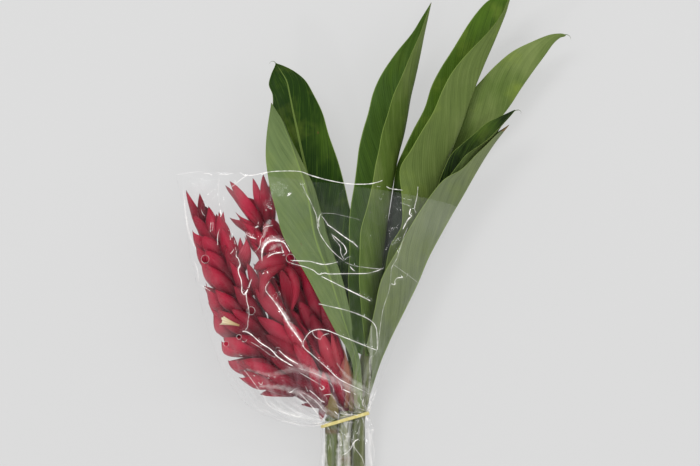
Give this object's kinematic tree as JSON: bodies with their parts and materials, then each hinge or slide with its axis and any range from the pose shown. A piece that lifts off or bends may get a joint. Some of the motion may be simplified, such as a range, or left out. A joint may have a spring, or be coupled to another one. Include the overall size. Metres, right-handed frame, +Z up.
{
  "type": "tied red ginger flower bunch in a clear sleeve",
  "caption": "Red ginger lying on its side: crimson bract heads on canes beside a fan of long folded leaves, tied with a rubber band in a gathered clear film sleeve.",
  "frame": {"origin": "centre of the bunch's outline on the surface that it lies on", "axes": "+Y from the cut stem ends towards the leaf tips, +X towards the leaves' side, +Z up from the surface"},
  "size_m": [0.394, 1.253, 0.0937],
  "materials": {
    "bracts": "waxy, half gloss",
    "leaf": "leathery, half gloss",
    "cane": "smooth, matt",
    "withered_flower": "dry, matt",
    "film": "clear, glossy",
    "band": "matt"
  },
  "bodies": {
    "root": {"stem_1": "cane", "stem_2": "cane", "leafy_stem": "cane", "head_1": "bracts", "head_2": "bracts", "leaf_1": "leaf", "leaf_2": "leaf", "leaf_3": "leaf", "leaf_4": "leaf", "leaf_5": "leaf", "leaf_6": "leaf", "leaf_7": "leaf", "floret": "withered_flower", "sleeve": "film", "rubber_band": "band"}
  },
  "joints": []
}
